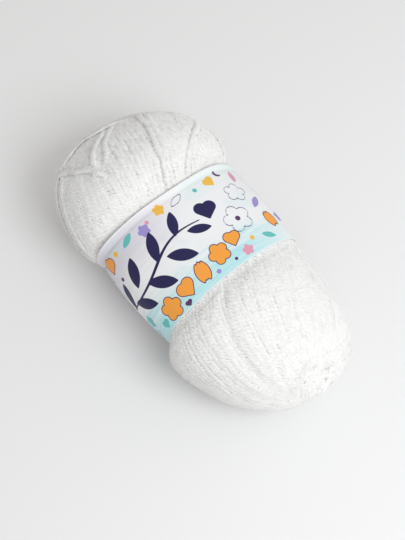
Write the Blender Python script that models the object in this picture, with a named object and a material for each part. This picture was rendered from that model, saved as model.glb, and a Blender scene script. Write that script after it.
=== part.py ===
"""An oval pull skein of white acrylic yarn, drawn in at its waist by a printed paper band.

The skein lies on its side with its long axis along X. It is one solid of its wound form: two lobes,
a waist, a hollow at each end where the yarn turns round the middle, the main twists of the winding,
and a small flat spot under each lobe. The band is a thin sleeve round the waist.
The file works in millimetres and turns them into metres where a mesh is made.
"""

import math

import bmesh
import bpy
import numpy as np

METRES = 0.001

# Heights and counts that drive both pieces
CENTRE_HEIGHT = 29.5
FACETS_ROUND = 56
RINGS_BETWEEN = 2
SQUARENESS = 2.3

# The paper band: how thick it is, and how far it stands off the yarn
BAND_THICKNESS = 1.0
BAND_GAP = 0.4
BAND_FACETS_ALONG = 2

# The winding: how many twists show round the skein, how proud they stand, how fast they turn
TWISTS = 9
TWIST_HEIGHT = 0.45
TWIST_TURN = math.radians(0.5)
TWIST_SWIRL = math.radians(70)
SWIRL_REACH = 14.0

# Sections from the far end to the near end, in millimetres:
# place along X, half width, rise above the middle line, drop below it, how far that line is shifted
# sideways and lifted, and how much the section leans back (mm along X for each mm up)
SECTIONS = [
    ("far hollow floor", -76.5, 0.0, 0.0, 0.0, 1.5, 0.0, 0.0),
    ("far hollow wall", -79.5, 3.8, 2.2, 2.2, 1.5, 0.0, 0.0),
    ("far hollow lip", -84.2, 8.0, 5.2, 5.2, 1.3, 0.0, 0.0),
    ("far end", -85.0, 13.0, 8.6, 8.6, 1.0, 0.0, 0.0),
    ("far end turn", -83.0, 22.0, 13.2, 13.8, 0.0, 0.0, 0.0),
    ("far end shoulder", -77.6, 30.2, 18.6, 18.8, -0.5, 0.0, 0.0),
    ("far lobe outer", -69.0, 37.0, 25.4, 24.0, 0.1, 0.0, 0.0),
    ("far lobe rising", -60.0, 40.8, 30.2, 28.6, 0.7, 0.0, 0.0),
    ("far lobe crown", -49.0, 42.8, 33.6, 31.2, 0.95, 0.0, 0.0),
    ("far lobe falling", -40.0, 42.4, 32.8, 30.9, 0.9, 0.0, 0.0),
    ("far lobe tucked in", -34.0, 40.4, 29.0, 28.6, 0.7, 0.0, 0.0),
    ("far rim of band", -28.7, 38.4, 25.4, 25.4, 0.5, 0.0, 0.0),
    ("band, far half", -16.0, 38.9, 25.2, 25.2, 0.7, 0.0, 0.0),
    ("band, middle", -3.3, 39.1, 24.9, 24.9, 0.9, 0.0, 0.0),
    ("band, near half", 10.0, 38.8, 24.8, 24.8, 0.4, 0.0, 0.0),
    ("near rim of band", 22.1, 38.2, 24.8, 24.8, -0.5, 0.0, 0.0),
    ("near lobe coming out", 27.0, 38.7, 26.6, 27.0, -2.2, 0.0, 0.0),
    ("near lobe rising", 33.0, 39.2, 28.5, 29.6, -3.8, 0.0, 0.0),
    ("near lobe crown", 41.0, 39.1, 29.2, 30.7, -4.35, 0.0, 0.0),
    ("near lobe falling", 51.0, 37.2, 28.0, 30.0, -4.0, 0.0, 0.0),
    ("near lobe outer", 61.0, 33.9, 25.6, 27.0, -3.0, 0.0, 0.0),
    ("near end shoulder", 71.0, 28.6, 21.4, 21.8, -1.2, 0.8, 0.0),
    ("near end turn", 78.4, 21.6, 15.8, 16.0, 0.6, 2.4, 0.12),
    ("near end", 81.4, 13.4, 9.6, 10.0, 2.4, 5.5, 0.3),
    ("near hollow lip", 81.8, 8.4, 5.4, 5.8, 3.4, 8.2, 0.45),
    ("near hollow wall", 79.2, 4.4, 2.2, 2.4, 3.8, 9.3, 0.5),
    ("near hollow floor", 75.0, 0.0, 0.0, 0.0, 3.8, 8.6, 0.5),
]
SECTION_COLUMNS = ("along", "half_width", "rise", "drop", "shift", "lift", "lean")

# Ridges and creases that single groups of yarn make, each along a straight line over the surface:
# place along X and angle round (degrees, 0 at +Y, 90 on top) at its start and end, height, width
GROUPS = [
    ("crease of the near lobe", 24.0, 100.0, 71.0, 138.0, -1.7, 3.4),
    ("swell beside that crease", 24.0, 84.0, 74.0, 112.0, 0.9, 6.0),
    ("valley of the far lobe", -58.0, 22.0, -31.0, 75.0, -1.6, 3.2),
    ("shoulder of the far lobe", -74.0, 56.0, -58.0, 26.0, 2.2, 8.0),
    ("ridge on top of the far lobe", -72.0, 62.0, -31.0, 88.0, 0.9, 3.4),
    ("ridge into the far end", -56.0, 122.0, -82.0, 88.0, 1.0, 3.4),
    ("yarn laid round the far end", -74.0, 172.0, -82.0, 96.0, 1.2, 3.6),
    ("hollow inside that yarn", -64.0, 160.0, -74.0, 110.0, -1.2, 3.8),
    ("crease of the underside", 30.0, 250.0, 74.0, 285.0, -1.2, 4.0),
    ("ridge of the far underside", -74.0, 225.0, -34.0, 255.0, 1.0, 4.0),
    ("crease of the near right side", 30.0, 20.0, 74.0, 48.0, -1.1, 3.6),
]


def section_column(name):
    """One column of the section table, as an array."""
    place = SECTION_COLUMNS.index(name) + 1
    return np.array([row[place] for row in SECTIONS])


def through_rows(values, at):
    """A smooth curve through the table's rows: a cubic between each two, its slopes from their neighbours."""
    slopes = np.gradient(values)
    row = np.clip(np.floor(at).astype(int), 0, len(values) - 2)
    part = at - row
    start = (1 + 2 * part) * (1 - part) ** 2 * values[row] + part * (1 - part) ** 2 * slopes[row]
    end = part**2 * (3 - 2 * part) * values[row + 1] + part**2 * (part - 1) * slopes[row + 1]
    return start + end


def soft_step(low, high, value):
    """0 below low, 1 above high, and a smooth rise between."""
    part = np.clip((value - low) / (high - low), 0.0, 1.0)
    return part * part * (3 - 2 * part)


def outside_band(along):
    """0 under the band and 1 a little way past its rims, so that nothing swells beneath the paper."""
    rims = [row[1] for row in SECTIONS if "rim of band" in row[0]]
    past = np.maximum(min(rims) - along, along - max(rims))
    return soft_step(1.0, 8.0, past)


def group_relief(along, angle, half_width):
    """How far the single groups of yarn lift or sink the surface."""
    lift = np.zeros(np.broadcast(along, angle).shape)
    for _, x_0, angle_0, x_1, angle_1, height, width in GROUPS:
        reach = np.maximum(half_width, 12.0)
        across_1 = math.radians(angle_1 - angle_0) * reach
        across = (np.mod(angle - math.radians(angle_0) + math.pi, 2 * math.pi) - math.pi) * reach
        run = x_1 - x_0
        share = np.clip(((along - x_0) * run + across * across_1) / (run**2 + across_1**2), 0.0, 1.0)
        gap = np.hypot(along - x_0 - share * run, across - share * across_1)
        lift = lift + height * np.exp(-((gap / width) ** 2))
    return lift


def twist_relief(along, angle):
    """The twists of the winding: waves round the skein that run aslant and swirl into each hollow."""
    ends = section_column("along")
    from_end = np.minimum(along - ends.min(), ends.max() - along)
    swirl = TWIST_SWIRL * np.exp(-from_end / SWIRL_REACH) * np.sign(along)
    return TWIST_HEIGHT * np.cos(TWISTS * (angle + TWIST_TURN * along + swirl))


def skein_ring(at, out=0.0, relief=True):
    """A ring of the skein's surface at one place in the section table, `out` mm outside it."""
    at = np.array([float(at)])
    along, half_width, rise, drop, shift, lift, lean = (
        through_rows(section_column(name), at)[0] for name in SECTION_COLUMNS
    )
    angle = np.linspace(0.0, 2 * math.pi, FACETS_ROUND, endpoint=False)
    power = 2.0 / SQUARENESS
    side = np.sign(np.cos(angle)) * np.abs(np.cos(angle)) ** power
    height = np.sign(np.sin(angle)) * np.abs(np.sin(angle)) ** power
    swell = np.full(FACETS_ROUND, out)
    if relief:
        wound = group_relief(along, angle, half_width) + twist_relief(along, angle)
        swell = swell + wound * outside_band(along) * soft_step(3.0, 14.0, half_width)
    up = np.where(height > 0, rise, drop)
    y = shift + side * (half_width + swell)
    above = height * (up + swell)
    return np.stack([along - lean * above, y, CENTRE_HEIGHT + lift + above], axis=1)


def ring_strip(verts_a, verts_b, faces):
    """Quads between two rings of the same length."""
    count = len(verts_a)
    for i in range(count):
        j = (i + 1) % count
        faces.append((verts_a[i], verts_a[j], verts_b[j], verts_b[i]))


def make_object(name, points, faces, material):
    """A mesh object from points in millimetres, with its faces turned outwards."""
    mesh = bpy.data.meshes.new(name)
    mesh.from_pydata((np.asarray(points) * METRES).tolist(), [], faces)
    body = bmesh.new()
    body.from_mesh(mesh)
    bmesh.ops.recalc_face_normals(body, faces=body.faces[:])
    body.to_mesh(mesh)
    body.free()
    mesh.materials.append(material)
    made = bpy.data.objects.new(name, mesh)
    bpy.context.collection.objects.link(made)
    return made


def make_material(name, colour, roughness):
    """A Principled material of one colour."""
    material = bpy.data.materials.new(name)
    material.use_nodes = True
    shader = material.node_tree.nodes["Principled BSDF"]
    shader.inputs["Base Color"].default_value = (*colour, 1.0)
    shader.inputs["Roughness"].default_value = roughness
    shader.inputs["Metallic"].default_value = 0.0
    return material


def cut_flat_spots(made):
    """Cuts the solid off at the surface it lies on, which leaves one flat face under each lobe."""
    body = bmesh.new()
    body.from_mesh(made.data)
    everything = body.verts[:] + body.edges[:] + body.faces[:]
    cut = bmesh.ops.bisect_plane(
        body,
        geom=everything,
        plane_co=(0.0, 0.0, 0.0),
        plane_no=(0.0, 0.0, 1.0),
        dist=1e-7,
        clear_inner=True,
    )
    rim = [part for part in cut["geom_cut"] if isinstance(part, bmesh.types.BMEdge)]
    bmesh.ops.edgeloop_fill(body, edges=rim)
    bmesh.ops.recalc_face_normals(body, faces=body.faces[:])
    body.to_mesh(made.data)
    body.free()


def make_skein():
    """The wound yarn: rings from one hollow's floor to the other's, closed by a point at each."""
    last = len(SECTIONS) - 1
    places = np.linspace(0.0, last, last * RINGS_BETWEEN + 1)[1:-1]
    rings = [skein_ring(at) for at in places]
    points = []
    for name_row in (SECTIONS[0], SECTIONS[-1]):
        points.append((name_row[1], name_row[5], CENTRE_HEIGHT + name_row[6]))
    indices = []
    for ring in rings:
        start = len(points)
        points.extend(ring.tolist())
        indices.append(list(range(start, start + FACETS_ROUND)))
    faces = []
    for ring_a, ring_b in zip(indices, indices[1:]):
        ring_strip(ring_a, ring_b, faces)
    for i in range(FACETS_ROUND):
        j = (i + 1) % FACETS_ROUND
        faces.append((0, indices[0][j], indices[0][i]))
        faces.append((1, indices[-1][i], indices[-1][j]))
    made = make_object("skein", points, faces, make_material("acrylic yarn", (0.87, 0.87, 0.85), 0.85))
    cut_flat_spots(made)
    return made


def make_band():
    """The paper band: a sleeve of even thickness that follows the waist from rim to rim."""
    names = [row[0] for row in SECTIONS]
    first, last = names.index("far rim of band"), names.index("near rim of band")
    places = np.linspace(first, last, (last - first) * BAND_FACETS_ALONG + 1)
    inner = [skein_ring(at, out=BAND_GAP, relief=False) for at in places]
    outer = [skein_ring(at, out=BAND_GAP + BAND_THICKNESS, relief=False) for at in places]
    points = []
    indices = []
    for ring in inner + outer[::-1]:
        start = len(points)
        points.extend(ring.tolist())
        indices.append(list(range(start, start + FACETS_ROUND)))
    faces = []
    for ring_a, ring_b in zip(indices, indices[1:] + indices[:1]):
        ring_strip(ring_a, ring_b, faces)
    return make_object("band", points, faces, make_material("printed paper", (0.78, 0.86, 0.88), 0.45))


def main():
    for old in list(bpy.data.objects):
        bpy.data.objects.remove(old, do_unlink=True)
    make_skein()
    make_band()


main()
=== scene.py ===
# %% [markdown]
# # A skein of white acrylic yarn in its paper band
# The real thing is one long strand of plied acrylic, wound by machine round a spindle that leaves a
# hollow at each end, then pulled in at the waist by a printed paper band. The CAD frame gives the wound
# form and the band as plain solids. Here the winding is laid on that form strand by strand, and the
# paper gets its own thin sheet, its flared edges and its print.

import math

import bpy
import numpy as np
from mathutils import Matrix, Vector


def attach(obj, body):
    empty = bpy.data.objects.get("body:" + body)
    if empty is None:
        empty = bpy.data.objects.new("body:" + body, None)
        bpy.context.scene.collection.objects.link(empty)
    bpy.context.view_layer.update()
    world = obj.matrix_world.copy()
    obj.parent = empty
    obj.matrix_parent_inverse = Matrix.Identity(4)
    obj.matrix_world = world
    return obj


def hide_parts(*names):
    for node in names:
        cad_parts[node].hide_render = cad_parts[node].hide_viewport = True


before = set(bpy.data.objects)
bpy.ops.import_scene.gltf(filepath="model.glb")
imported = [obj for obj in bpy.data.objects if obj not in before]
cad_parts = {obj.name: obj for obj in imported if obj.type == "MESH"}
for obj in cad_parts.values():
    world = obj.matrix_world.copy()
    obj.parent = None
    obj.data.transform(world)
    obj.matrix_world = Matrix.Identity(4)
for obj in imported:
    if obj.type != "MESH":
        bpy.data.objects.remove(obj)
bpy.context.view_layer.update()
MM = 0.001

# %% [markdown]
# ## The camera
# The photograph looks down on the skein from over its near end, with a long lens, so there is little
# perspective. A camera that is placed by its azimuth, elevation and distance from one point is easier to
# fit to a photograph than one that is placed by coordinates.

# %% Place the camera
CAMERA_AZIMUTH = math.radians(51.0)
CAMERA_ELEVATION = math.radians(62.8)
CAMERA_DISTANCE = 0.638
CAMERA_LENS = 90.0
LOOKED_AT = Vector((0.0032, -0.0048, 0.030))

BACK = Vector((
    math.sin(CAMERA_AZIMUTH) * math.cos(CAMERA_ELEVATION),
    -math.cos(CAMERA_AZIMUTH) * math.cos(CAMERA_ELEVATION),
    math.sin(CAMERA_ELEVATION),
))
PICTURE_RIGHT = Vector((math.cos(CAMERA_AZIMUTH), math.sin(CAMERA_AZIMUTH), 0.0))
PICTURE_UP = BACK.cross(PICTURE_RIGHT)


def aim(thing, place, toward, upright=PICTURE_UP):
    """Puts a camera or light at a place, looking along its own -Z at a point."""
    back = (place - toward).normalized()
    right = upright.cross(back).normalized()
    up = back.cross(right)
    turn = Matrix((right, up, back)).transposed().to_4x4()
    thing.matrix_world = Matrix.Translation(place) @ turn


camera = bpy.data.objects.new("camera", bpy.data.cameras.new("camera"))
camera.data.lens = CAMERA_LENS
camera.data.sensor_width = 36.0
camera.data.clip_start = 0.01
bpy.context.collection.objects.link(camera)
aim(camera, LOOKED_AT + CAMERA_DISTANCE * BACK, LOOKED_AT)
bpy.context.scene.camera = camera
print("camera at", [round(value, 3) for value in camera.matrix_world.translation])

# %% [markdown]
# ## Shader expressions
# A material is easier to read as a formula than as a chain of boxes. This class wraps one socket of a
# node tree. Arithmetic on values adds Math nodes, and `make` adds any other node in one call. Colours
# are mixed by a Mix node, because a Math node would turn them grey.


# %% Wrap a socket so that Python's operators build nodes
class Value:
    """A socket of a material's node tree, on which + - * build Math nodes."""

    def __init__(self, tree, socket):
        self.tree = tree
        self.socket = socket

    def math(self, operation, *others):
        """One Math node: this value, then the others, which may be plain numbers."""
        node = self.tree.nodes.new("ShaderNodeMath")
        node.operation = operation
        for socket, value in zip(node.inputs, (self, *others)):
            connect(self.tree, socket, value)
        return Value(self.tree, node.outputs[0])

    def __add__(self, other):
        return self.math("ADD", other)

    def __sub__(self, other):
        return self.math("SUBTRACT", other)

    def __mul__(self, other):
        return self.math("MULTIPLY", other)

    def __radd__(self, other):
        return self + other

    def __rsub__(self, other):
        return self * -1.0 + other

    def __rmul__(self, other):
        return self * other

    def rise(self, low, high):
        """0 where this is below low, 1 above high, smooth between; low above high turns it round."""
        return make(
            self.tree, "ShaderNodeMapRange", {"interpolation_type": "SMOOTHSTEP"},
            Value=self, From_Min=low, From_Max=high,
        )


def connect(tree, socket, value):
    """Links a Value to a socket, or sets the socket's own value."""
    if isinstance(value, Value):
        tree.links.new(value.socket, socket)
    else:
        socket.default_value = value


def make(tree, kind, settings=None, output=0, **sockets):
    """Any node: its settings first, then its sockets by name, with _ for a space."""
    node = tree.nodes.new(kind)
    for name, value in (settings or {}).items():
        setattr(node, name, value)
    for name, value in sockets.items():
        wanted = name.replace("_", " ")
        socket = next(s for s in node.inputs if s.name == wanted and s.enabled)
        connect(tree, socket, value)
    return Value(tree, node.outputs[output])


def blend_colours(tree, share, first, second):
    """The first colour where share is 0, the second where it is 1."""
    node = tree.nodes.new("ShaderNodeMix")
    node.data_type = "RGBA"
    connect(tree, node.inputs["Factor"], share)
    for socket, value in ((node.inputs[6], first), (node.inputs[7], second)):
        connect(tree, socket, value)
    return Value(tree, node.outputs[2])


def new_material(name, **constants):
    """A Principled material, its node tree and its shader, with the constant sockets set."""
    material = bpy.data.materials.new(name)
    material.use_nodes = True
    tree = material.node_tree
    shader = tree.nodes["Principled BSDF"]
    for socket, value in constants.items():
        shader.inputs[socket.replace("_", " ")].default_value = value
    return material, tree, shader


# %% [markdown]
# ## The wound form
# The skein's surface is a stack of flattened round sections, listed from one hollow's floor to the
# other's. A smooth curve through the rows gives the section at any place between them, and the angle
# round the section gives the point on it: 0 at +Y, 90 degrees on top. The rows are those that the CAD
# solid is built on, so what is laid on this surface sits where the solid is. Only the last two differ,
# because the yarn has sprung back into the near hollow and left no more than a shallow slit.

# %% Sections of the skein, in millimetres
# place along X, half width, rise above the middle line, drop below it, sideways shift, lift, lean back
SECTIONS = np.array([
    (-76.5, 0.0, 0.0, 0.0, 1.5, 0.0, 0.0),  # the far hollow's floor
    (-79.5, 3.8, 2.2, 2.2, 1.5, 0.0, 0.0),
    (-84.2, 8.0, 5.2, 5.2, 1.3, 0.0, 0.0),
    (-85.0, 13.0, 8.6, 8.6, 1.0, 0.0, 0.0),
    (-83.0, 22.0, 13.2, 13.8, 0.0, 0.0, 0.0),
    (-77.6, 30.2, 18.6, 18.8, -0.5, 0.0, 0.0),
    (-69.0, 37.0, 25.4, 24.0, 0.1, 0.0, 0.0),
    (-60.0, 40.8, 30.2, 28.6, 0.7, 0.0, 0.0),
    (-49.0, 42.8, 33.6, 31.2, 0.95, 0.0, 0.0),  # the far lobe's crown
    (-40.0, 42.4, 32.8, 30.9, 0.9, 0.0, 0.0),
    (-34.0, 40.4, 29.0, 28.6, 0.7, 0.0, 0.0),
    (-28.7, 38.4, 25.4, 25.4, 0.5, 0.0, 0.0),  # the band's far rim
    (-16.0, 38.9, 25.2, 25.2, 0.7, 0.0, 0.0),
    (-3.3, 39.1, 24.9, 24.9, 0.9, 0.0, 0.0),
    (10.0, 38.8, 24.8, 24.8, 0.4, 0.0, 0.0),
    (22.1, 38.2, 24.8, 24.8, -0.5, 0.0, 0.0),  # the band's near rim
    (27.0, 38.7, 26.6, 27.0, -2.2, 0.0, 0.0),
    (33.0, 39.2, 28.5, 29.6, -3.8, 0.0, 0.0),
    (41.0, 39.1, 29.2, 30.7, -4.35, 0.0, 0.0),  # the near lobe's crown
    (51.0, 37.2, 28.0, 30.0, -4.0, 0.0, 0.0),
    (61.0, 33.9, 25.6, 27.0, -3.0, 0.0, 0.0),
    (71.0, 28.6, 21.4, 21.8, -1.2, 0.8, 0.0),
    (78.4, 21.6, 15.8, 16.0, 0.6, 2.4, 0.12),
    (81.4, 13.4, 9.6, 10.0, 2.4, 5.5, 0.3),
    (81.8, 8.4, 5.4, 5.8, 3.4, 8.2, 0.45),
    (81.2, 4.4, 2.2, 2.4, 3.8, 9.3, 0.5),
    (80.4, 0.0, 0.0, 0.0, 3.8, 8.6, 0.5),  # the near hollow's floor
])
ALONG, HALF_WIDTH, RISE, DROP = SECTIONS.T[:4]
FAR_FLOOR, FAR_RIM, NEAR_RIM, NEAR_FLOOR = 0, 11, 15, 26
LAST_ROW = len(SECTIONS) - 1.0
CENTRE_HEIGHT = 29.5
SQUARENESS = 2.3  # the power of the rounded section: 2 is an ellipse, more is squarer
FULL_TURN = 2 * math.pi
print("sections", len(SECTIONS), "from", ALONG.min(), "to", ALONG.max())

# %% Creases, ridges and a swell, in millimetres and degrees
# place along X and angle round at the start, the same at the end, height, width
GROUPS = [
    (24.0, 100.0, 71.0, 138.0, -1.7, 3.4),  # the near lobe's crease
    (24.0, 84.0, 74.0, 112.0, 0.9, 6.0),  # the swell beside it
    (-58.0, 22.0, -31.0, 75.0, -1.6, 3.2),  # the far lobe's valley
    (-74.0, 56.0, -58.0, 26.0, 2.2, 8.0),  # the far lobe's shoulder
    (-72.0, 62.0, -31.0, 88.0, 0.9, 3.4),
    (-56.0, 122.0, -82.0, 88.0, 1.0, 3.4),
    (-74.0, 172.0, -82.0, 96.0, 1.2, 3.6),  # yarn laid round the far end
    (-64.0, 160.0, -74.0, 110.0, -1.2, 3.8),
    (30.0, 250.0, 74.0, 285.0, -1.2, 4.0),
    (-74.0, 225.0, -34.0, 255.0, 1.0, 4.0),
    (30.0, 20.0, 74.0, 48.0, -1.1, 3.6),
]
RELIEF_SHARE = 0.45  # the strands soften what the solid states in full
LEAST_REACH = 12.0
RELIEF_FADE = (3.0, 14.0)  # half widths between which the relief comes in, past the hollow's lip
SHOULDER_HEIGHT = 3.6  # the near lobe is fuller beside the band, on its -Y side
SHOULDER_X, SHOULDER_LENGTH = 26.0, 11.0
SHOULDER_ANGLE, SHOULDER_SPREAD = math.radians(198), math.radians(34)
SHOULDER_FADE = (-2.0, 3.0)  # mm past the near rim between which it comes in
BAND_FADE = (1.0, 8.0)  # mm past a rim between which the band's hold on the yarn ends


def soft_step(low, high, value):
    """0 below low, 1 above high, and a smooth rise between."""
    part = np.clip((value - low) / (high - low), 0.0, 1.0)
    return part * part * (3 - 2 * part)


def through_rows(column, at):
    """A cubic curve through one column of the sections, at any row number, whole or not."""
    slopes = np.gradient(column)
    row = np.clip(np.floor(at).astype(int), 0, len(column) - 2)
    part = at - row
    start = (1 + 2 * part) * (1 - part) ** 2 * column[row] + part * (1 - part) ** 2 * slopes[row]
    end = part**2 * (3 - 2 * part) * column[row + 1] + part**2 * (part - 1) * slopes[row + 1]
    return start + end


def outside_band(x):
    """0 under the band and 1 a little way past its rims."""
    return soft_step(*BAND_FADE, np.maximum(ALONG[FAR_RIM] - x, x - ALONG[NEAR_RIM]))


def turn_from(middle, angle):
    """The turn from a middle angle to another one, at most half a round either way."""
    return np.mod(angle - middle + math.pi, FULL_TURN) - math.pi


def group_relief(x, angle, half_width):
    """Each group lifts or sinks the surface by a bell curve of the distance from its line."""
    total = np.zeros(np.broadcast(x, angle).shape)
    reach = np.maximum(half_width, LEAST_REACH)
    for x_0, angle_0, x_1, angle_1, height, width in GROUPS:
        across_1 = math.radians(angle_1 - angle_0) * reach
        across = turn_from(math.radians(angle_0), angle) * reach
        run = x_1 - x_0
        share = np.clip(((x - x_0) * run + across * across_1) / (run**2 + across_1**2), 0.0, 1.0)
        gap = np.hypot(x - x_0 - share * run, across - share * across_1)
        total += height * np.exp(-((gap / width) ** 2))
    return total


def near_shoulder(x, angle):
    """The swell beside the band's near rim: a bell curve along and round."""
    along = (x - SHOULDER_X) / SHOULDER_LENGTH
    aside = turn_from(SHOULDER_ANGLE, angle) / SHOULDER_SPREAD
    return SHOULDER_HEIGHT * np.exp(-(along**2) - aside**2)


# %% The surface at any row and angle
def section_point(at, angle, swell=0.0, relief=True):
    """A point of a rounded, flattened section that is `swell` mm larger: the half width times a power of
    the cosine to one side, and the rise or drop times a power of the sine up or down."""
    x, half_width, rise, drop, shift, lift, lean = (through_rows(column, at) for column in SECTIONS.T)
    if relief:
        fade = outside_band(x) * soft_step(*RELIEF_FADE, half_width)
        swell = swell + RELIEF_SHARE * group_relief(x, angle, half_width) * fade
        swell = swell + near_shoulder(x, angle) * soft_step(*SHOULDER_FADE, x - ALONG[NEAR_RIM])
    power = 2.0 / SQUARENESS
    side = np.sign(np.cos(angle)) * np.abs(np.cos(angle)) ** power
    height = np.sign(np.sin(angle)) * np.abs(np.sin(angle)) ** power
    y = shift + side * (half_width + swell)
    above = height * (np.where(height > 0, rise, drop) + swell)
    return np.stack(np.broadcast_arrays(x - lean * above, y, CENTRE_HEIGHT + lift + above), axis=-1)


def unit(vectors):
    """Vectors of length one, along the last axis."""
    return vectors / np.maximum(np.linalg.norm(vectors, axis=-1, keepdims=True), 1e-9)


def surface(at, angle):
    """A point of the wound form and the direction that leaves it squarely there: the cross product of a
    short step round the section and one along the skein."""
    nudge = 0.02
    point = section_point(at, angle)
    round_it = section_point(at, angle + nudge) - section_point(at, angle - nudge)
    low, high = np.maximum(at - nudge, 0.0), np.minimum(at + nudge, LAST_ROW)
    along_it = section_point(high, angle) - section_point(low, angle)
    return point, unit(np.cross(round_it, along_it))


FAR_CROWN_ROW, NEAR_CROWN_ROW = 8, 18
crown_point, crown_out = surface(np.array([float(FAR_CROWN_ROW)]), np.array([math.pi / 2]))
print("far crown", np.round(crown_point, 1), "faces", np.round(crown_out, 2))

# %% Even steps round a section
ROUND_STEPS = 721


def lengths_along(points):
    """The distance from the first of a row of points, at each of them."""
    return np.concatenate([[0.0], np.cumsum(np.linalg.norm(np.diff(points, axis=0), axis=1))])


def even_round(turn):
    """The section angle at a turn that counts equal lengths round the near crown's section instead."""
    angles = np.linspace(0.0, FULL_TURN, ROUND_STEPS)
    section = section_point(np.full(ROUND_STEPS, float(NEAR_CROWN_ROW)), angles, relief=False)
    lengths = lengths_along(section)
    whole = np.floor(turn / FULL_TURN)
    return np.interp(turn - whole * FULL_TURN, lengths / lengths[-1] * FULL_TURN, angles) + whole * FULL_TURN


print("a quarter round is the section angle", round(math.degrees(even_round(math.pi / 2)), 1), "degrees")

# %% [markdown]
# ## Meshes from whole arrays
# Every piece here is a grid: rows of points, joined by quads. The faces are worked out as arrays of
# point numbers, and `foreach_set` puts them into the mesh in one call.


# %% Build a mesh from arrays
def new_piece(name, points, faces, material, uv=None, fields=None):
    """A smooth mesh object in metres from points in mm. `faces` is a list of arrays, one row a face,
    `uv` has a row for each face corner, and `fields` are named values on the points."""
    mesh = bpy.data.meshes.new(name)
    sizes = np.concatenate([np.full(len(rows), rows.shape[1]) for rows in faces])
    corners = np.concatenate([rows.ravel() for rows in faces])
    mesh.vertices.add(len(points))
    mesh.vertices.foreach_set("co", (points * MM).astype(np.float32).ravel())
    mesh.loops.add(len(corners))
    mesh.loops.foreach_set("vertex_index", corners.astype(np.int32))
    mesh.polygons.add(len(sizes))
    starts = np.concatenate([[0], np.cumsum(sizes)[:-1]])
    mesh.polygons.foreach_set("loop_start", starts.astype(np.int32))
    mesh.update(calc_edges=True)
    if uv is not None:
        layer = mesh.uv_layers.new(name="lay")
        layer.data.foreach_set("uv", uv.astype(np.float32).ravel())
    for field, values in (fields or {}).items():
        layer = mesh.attributes.new(field, "FLOAT", "POINT")
        layer.data.foreach_set("value", values.astype(np.float32).ravel())
    mesh.validate()
    mesh.shade_smooth()
    mesh.materials.append(material)
    made = bpy.data.objects.new(name, mesh)
    bpy.context.collection.objects.link(made)
    print(f"{name}: {len(points)} points, {(sizes - 2).sum()} triangles")
    return made


# %% Number the faces of grids and tubes
def grid_faces(rows, columns):
    """Quads of a grid of points whose last column joins its first."""
    row, column = np.meshgrid(np.arange(rows - 1), np.arange(columns), indexing="ij")
    after = (column + 1) % columns
    this_row, next_row = row * columns, (row + 1) * columns
    corners = [this_row + column, this_row + after, next_row + after, next_row + column]
    return np.stack(corners, axis=-1).reshape(-1, 4)


def tube_faces(tubes, rings, columns):
    """The quads of many equal tubes, whose points follow each other, and the two end faces of each."""
    offsets = (np.arange(tubes) * rings * columns)[:, None, None]
    quads = (grid_faces(rings, columns)[None] + offsets).reshape(-1, 4)
    first = np.arange(columns)
    last = first[::-1] + (rings - 1) * columns
    caps = (np.stack([first, last])[None] + offsets).reshape(-1, columns)
    return quads, caps


print("a tube of 10 rings of 9 points has", len(tube_faces(1, 10, 9)[0]), "quads")

# %% [markdown]
# ## How the yarn runs
# On a wound ball a taut strand follows the straightest line that the surface allows. On a turned form
# that line keeps its radius times the sine of its angle to the axis constant, so it crosses the sides
# at a small angle, swings round as the radius shrinks, and passes the hollow at a least distance before
# it turns back. Each strand of a lobe here is one such pass: out from under the band, round the
# hollow, and back under the band on the far side. The outward run lies on top of the homeward ones.


# %% Rule the lobes
ROWS_UNDER_BAND = 0.35
RULER_MARKS = 600


def lobe_ruler(floor_row, rim_row):
    """Row numbers from a hollow's floor to under the band, with their distance over the surface from
    the floor and their mean radius, in mm."""
    inward = ROWS_UNDER_BAND * np.sign(rim_row - floor_row)
    at = np.linspace(floor_row, rim_row + inward, RULER_MARKS)
    radius = (through_rows(HALF_WIDTH, at) * 2 + through_rows(RISE, at) + through_rows(DROP, at)) / 4
    steps = np.hypot(np.diff(through_rows(ALONG, at)), np.diff(radius))
    return at, np.concatenate([[0.0], np.cumsum(steps)]), radius


FAR_RULER = lobe_ruler(FAR_FLOOR, FAR_RIM)
NEAR_RULER = lobe_ruler(NEAR_FLOOR, NEAR_RIM)
print("over the far lobe", round(FAR_RULER[1][-1], 1), "mm, over the near lobe", round(NEAR_RULER[1][-1], 1))


# %% Run strands round a hollow
def strand_runs(ruler, first_angle, closest, sense, pace):
    """Row numbers and angles along strands that start at first_angle and pass the hollow at `closest`
    mm from its floor's middle. The distance over the surface is the long side of a right triangle: the
    closest distance, and t, which runs from one rim (pace -1) to the other (1)."""
    row_of, distance_of, radius_of = ruler
    t = pace * np.sqrt(distance_of[-1] ** 2 - closest**2)[:, None]
    distance = np.hypot(closest[:, None], t)
    radius = np.interp(distance, distance_of, radius_of)
    least = np.interp(closest, distance_of, radius_of)[:, None]
    square = np.maximum(radius**2 - least**2, 1e-6)
    turn_rate = least / radius * np.abs(t) / distance / np.sqrt(square)
    turn_rate = np.minimum(turn_rate, 1.0 / least)
    steps = (turn_rate[:, 1:] + turn_rate[:, :-1]) / 2 * np.diff(t, axis=1)
    turned = np.concatenate([np.zeros((len(t), 1)), np.cumsum(steps, axis=1)], axis=1)
    at = np.interp(distance, distance_of, row_of)
    return t, at, first_angle[:, None] + sense * turned


# %% Let strands sway, alone or together
SHARED_WAVES = ((2, 0.7), (5, 1.3), (9, 2.1), (13, 3.0))  # rounds of a wave round the lobe, and along it


def wander(rng, pace, strands, waves, height):
    """A smooth random sway along each strand: a few sines of random place and size."""
    total = np.zeros((strands, len(pace)))
    for wave in waves:
        phase = rng.uniform(0, FULL_TURN, (strands, 1))
        total += rng.normal(0, 1, (strands, 1)) * np.sin(math.pi * wave * (pace + 1) + phase)
    return total * height / math.sqrt(len(waves))


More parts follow.
